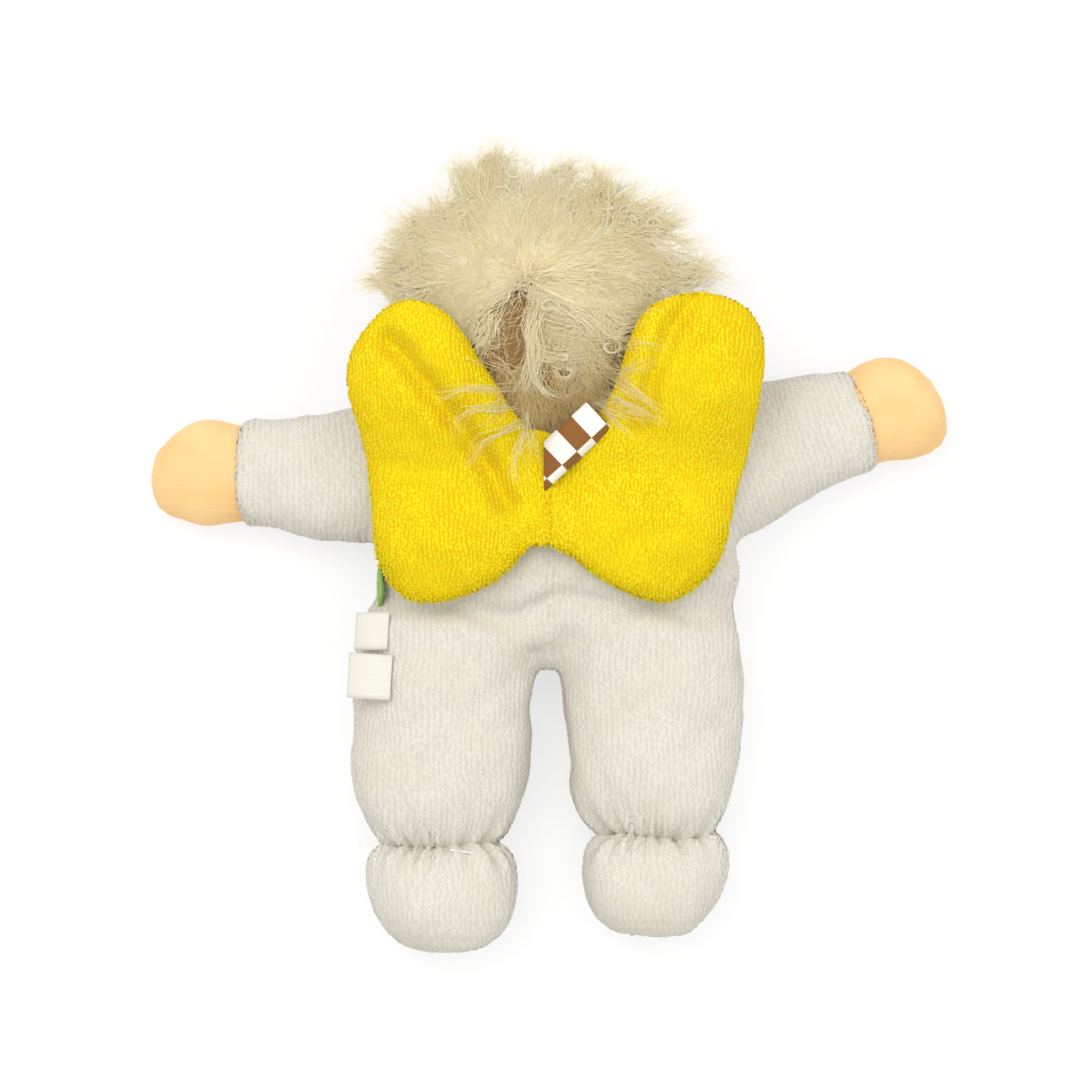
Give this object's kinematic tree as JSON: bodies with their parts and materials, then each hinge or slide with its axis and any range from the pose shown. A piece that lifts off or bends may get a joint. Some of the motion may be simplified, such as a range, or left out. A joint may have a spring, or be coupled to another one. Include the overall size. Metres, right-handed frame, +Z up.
{
  "type": "waldorf doll",
  "caption": "Soft cloth doll with wool filling, terry romper, jersey head and hands, fleece hair, wadded wings and a hanging loop.",
  "frame": {"origin": "centre of the bounding box in plan, at the ground the doll lies on", "axes": "+Z up from the ground, out of the doll's back; +Y from the feet to the head; +X to the doll's right arm"},
  "size_m": [0.2768, 0.2726, 0.0805],
  "materials": {
    "cream_terry": "ribbed cotton terry, matt",
    "yellow_terry": "loop-pile cotton terry, matt",
    "peach_jersey": "fine cotton jersey, matt",
    "wool_filling": "carded wool",
    "hair_fleece": "curly wool hair",
    "brown_knit": "knitted wool",
    "cotton_thread": "cotton thread",
    "eye_thread": "embroidery cotton",
    "mouth_thread": "embroidery cotton",
    "checked_tape": "woven cotton tape",
    "label_tape": "woven satin tape, bare",
    "green_felt": "wool felt"
  },
  "bodies": {
    "torso": {"torso_skin": "cream_terry", "torso_wool": "wool_filling", "wing_stitching": "cotton_thread", "leaf_patch": "green_felt"},
    "neck": {"neck_tie": "cotton_thread"},
    "head": {"head_skin": "peach_jersey", "head_wool": "wool_filling", "hair_cap": "brown_knit", "hair": "hair_fleece", "left_eye": "eye_thread", "right_eye": "eye_thread", "mouth": "mouth_thread"},
    "left_arm": {"left_sleeve": "cream_terry", "left_arm_wool": "wool_filling"},
    "left_hand": {"left_hand": "peach_jersey", "left_hand_wool": "wool_filling"},
    "right_arm": {"right_sleeve": "cream_terry", "right_arm_wool": "wool_filling"},
    "right_hand": {"right_hand": "peach_jersey", "right_hand_wool": "wool_filling"},
    "left_leg": {"left_leg_skin": "cream_terry", "left_leg_wool": "wool_filling"},
    "left_foot": {"left_foot_skin": "cream_terry", "left_foot_wool": "wool_filling"},
    "right_leg": {"right_leg_skin": "cream_terry", "right_leg_wool": "wool_filling"},
    "right_foot": {"right_foot_skin": "cream_terry", "right_foot_wool": "wool_filling"},
    "left_wing": {"left_wing_outer": "yellow_terry", "left_wing_wadding": "wool_filling", "left_wing_lining": "yellow_terry"},
    "right_wing": {"right_wing_outer": "yellow_terry", "right_wing_wadding": "wool_filling", "right_wing_lining": "yellow_terry"},
    "hanging_loop": {"hanging_loop": "checked_tape"},
    "care_label": {"care_label": "label_tape"},
    "size_label": {"size_label": "label_tape"}
  },
  "joints": [
    {"name": "neck_nod", "type": "hinge", "parent": "torso", "child": "neck", "pos_m": [-0.00041, 0.05136, 0.02935], "axis": [1, 0, 0], "range_deg": [-20, 4], "stiffness_Nm_per_rad": 0.08},
    {"name": "head_turn", "type": "hinge", "parent": "neck", "child": "head", "pos_m": [-0.00041, 0.05136, 0.02935], "axis": [0, 0.9833, 0.1822], "range_deg": [-20, 20], "stiffness_Nm_per_rad": 0.06},
    {"name": "left_shoulder", "type": "hinge", "parent": "torso", "child": "left_arm", "pos_m": [-0.04541, 0.03036, 0.02135], "axis": [0, -1, 0], "range_deg": [-10, 60], "stiffness_Nm_per_rad": 0.03},
    {"name": "left_wrist", "type": "hinge", "parent": "left_arm", "child": "left_hand", "pos_m": [-0.10841, 0.03036, 0.01185], "axis": [0, -1, 0], "range_deg": [-20, 35], "stiffness_Nm_per_rad": 0.01},
    {"name": "left_hip", "type": "hinge", "parent": "torso", "child": "left_leg", "pos_m": [-0.03541, -0.01764, 0.02085], "axis": [1, 0, 0], "range_deg": [-10, 60], "stiffness_Nm_per_rad": 0.06},
    {"name": "left_ankle", "type": "hinge", "parent": "left_leg", "child": "left_foot", "pos_m": [-0.03691, -0.09964, 0.01735], "axis": [1, 0, 0], "range_deg": [-20, 20], "stiffness_Nm_per_rad": 0.02},
    {"name": "right_shoulder", "type": "hinge", "parent": "torso", "child": "right_arm", "pos_m": [0.04459, 0.03036, 0.02135], "axis": [-0.2756, 0.9613, 0], "range_deg": [-10, 60], "stiffness_Nm_per_rad": 0.03},
    {"name": "right_wrist", "type": "hinge", "parent": "right_arm", "child": "right_hand", "pos_m": [0.10996, 0.0491, 0.01185], "axis": [-0.1219, 0.9925, 0], "range_deg": [-20, 35], "stiffness_Nm_per_rad": 0.01},
    {"name": "right_hip", "type": "hinge", "parent": "torso", "child": "right_leg", "pos_m": [0.03559, -0.01764, 0.02085], "axis": [1, 0, 0], "range_deg": [-10, 60], "stiffness_Nm_per_rad": 0.06},
    {"name": "right_ankle", "type": "hinge", "parent": "right_leg", "child": "right_foot", "pos_m": [0.03659, -0.09514, 0.01735], "axis": [1, 0, 0], "range_deg": [-20, 20], "stiffness_Nm_per_rad": 0.02},
    {"name": "left_wing_flap", "type": "hinge", "parent": "torso", "child": "left_wing", "pos_m": [-0.00161, 0.02336, 0.0569], "axis": [0, 1, 0], "range_deg": [0, 30]},
    {"name": "right_wing_flap", "type": "hinge", "parent": "torso", "child": "right_wing", "pos_m": [0.00079, 0.02336, 0.0569], "axis": [0, -1, 0], "range_deg": [0, 30]},
    {"name": "loop_lift", "type": "hinge", "parent": "torso", "child": "hanging_loop", "pos_m": [0.00049, 0.02936, 0.06285], "axis": [0, -1, 0], "range_deg": [0, 37]},
    {"name": "care_label_flip", "type": "hinge", "parent": "left_leg", "child": "care_label", "pos_m": [-0.06591, -0.01764, 0.02085], "axis": [0, -1, 0], "range_deg": [0, 50], "stiffness_Nm_per_rad": 0.0001},
    {"name": "size_label_flip", "type": "hinge", "parent": "left_leg", "child": "size_label", "pos_m": [-0.06591, -0.01764, 0.02085], "axis": [0, -1, 0], "range_deg": [0, 50], "stiffness_Nm_per_rad": 0.0001}
  ],
  "couplings": [
    {"joint": "loop_lift", "follows": "right_wing_flap", "ratio": 1.2}
  ]
}
